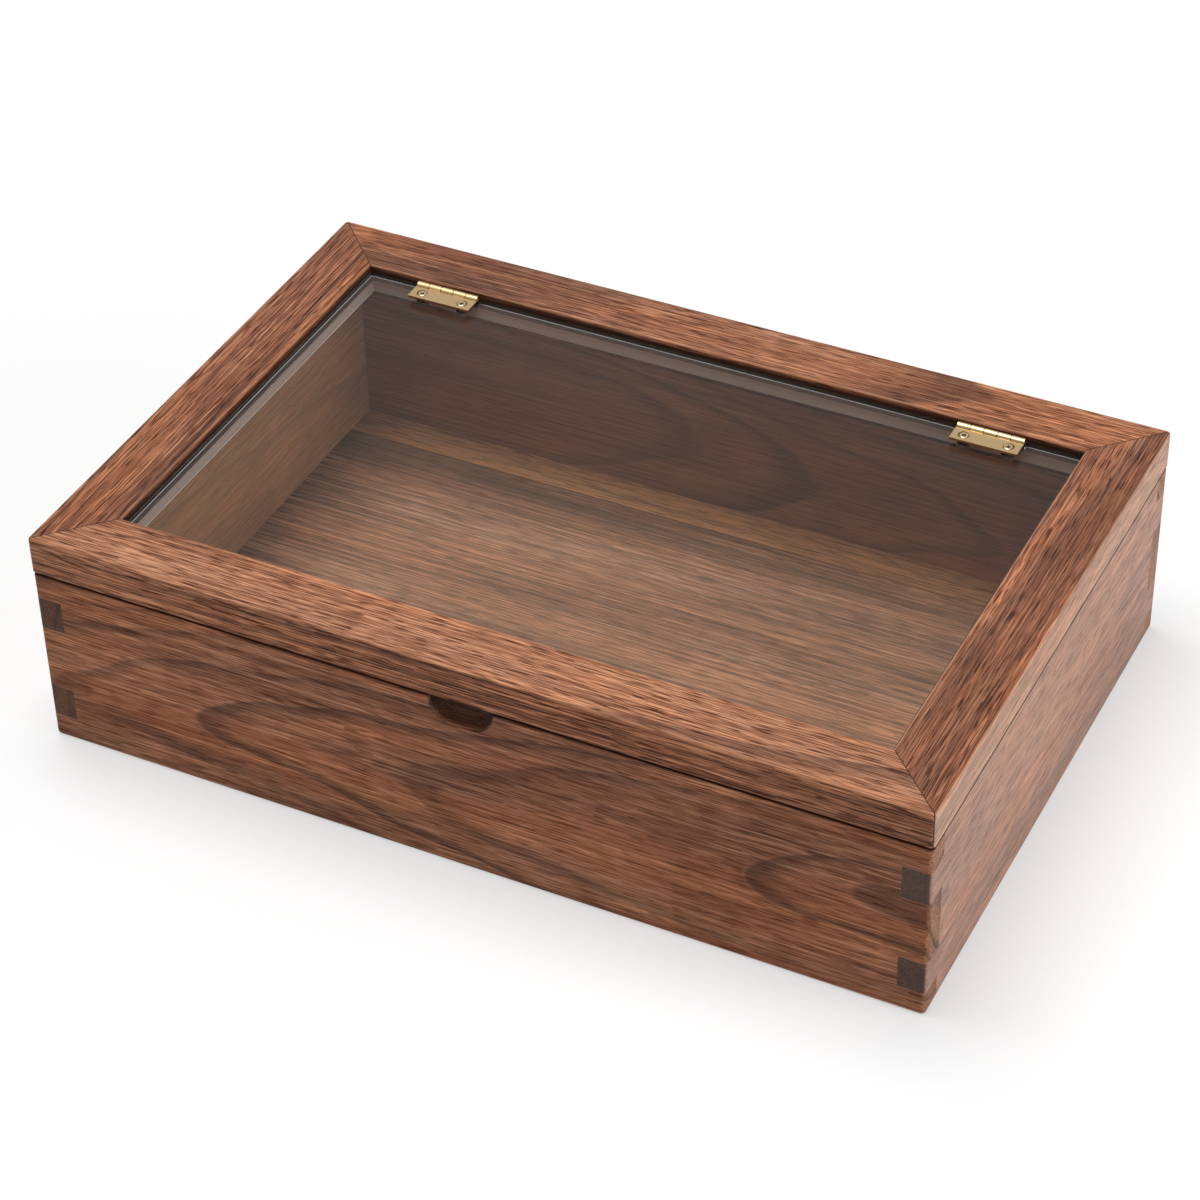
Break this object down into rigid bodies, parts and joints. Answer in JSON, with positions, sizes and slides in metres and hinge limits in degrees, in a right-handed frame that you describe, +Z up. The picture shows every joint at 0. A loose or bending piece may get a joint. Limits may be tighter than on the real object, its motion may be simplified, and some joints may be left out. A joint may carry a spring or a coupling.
{
  "type": "glass jewelry box",
  "caption": "Finger-jointed walnut jewelry box with a thumb scoop and a mitred lid on rear stop hinges; the lid's glass pane swings up on small hinges of its own.",
  "frame": {"origin": "centre of the case's underside, at the level of the table it stands on", "axes": "+X along the front towards its right end, +Y towards the hinged back, +Z up"},
  "size_m": [0.3004, 0.2026, 0.079],
  "materials": {
    "case_boards": "satin oiled walnut",
    "lid_rails": "satin oiled walnut",
    "floor": "satin oiled walnut",
    "ledge_strips": "satin oiled walnut, greyer",
    "tongues": "bare, hidden",
    "glass": "clear, polished arrises",
    "brass": "satin brushed brass",
    "screws": "satin brass"
  },
  "bodies": {
    "case": {"front_board": "case_boards", "back_board": "case_boards", "left_board": "case_boards", "right_board": "case_boards", "floor_panel": "floor", "left_lid_hinge_case_leaf": "brass", "right_lid_hinge_case_leaf": "brass", "left_lid_hinge_pin": "brass", "right_lid_hinge_pin": "brass", "case_leaf_screws": "screws"},
    "lid": {"lid_front_rail": "lid_rails", "lid_back_rail": "lid_rails", "lid_left_rail": "lid_rails", "lid_right_rail": "lid_rails", "mitre_tongues": "tongues", "front_ledge_strip": "ledge_strips", "back_ledge_strip": "ledge_strips", "left_ledge_strip": "ledge_strips", "right_ledge_strip": "ledge_strips", "left_lid_hinge_lid_leaf": "brass", "right_lid_hinge_lid_leaf": "brass", "lid_leaf_screws": "screws", "left_pane_hinge_rail_leaf": "brass", "right_pane_hinge_rail_leaf": "brass", "left_pane_hinge_pin": "brass", "right_pane_hinge_pin": "brass", "rail_leaf_screws": "screws"},
    "pane": {"glass_pane": "glass", "left_pane_hinge_pane_leaf": "brass", "right_pane_hinge_pane_leaf": "brass", "pane_leaf_screws": "screws", "pane_screw_nuts": "screws"}
  },
  "joints": [
    {"name": "lid_hinge", "type": "hinge", "parent": "case", "child": "lid", "pos_m": [0, 0.1004, 0.06555], "axis": [-1, 0, 0], "range_deg": [0, 100]},
    {"name": "pane_hinge", "type": "hinge", "parent": "lid", "child": "pane", "pos_m": [0, 0.0774, 0.077], "axis": [-1, 0, 0], "range_deg": [0, 100]}
  ]
}
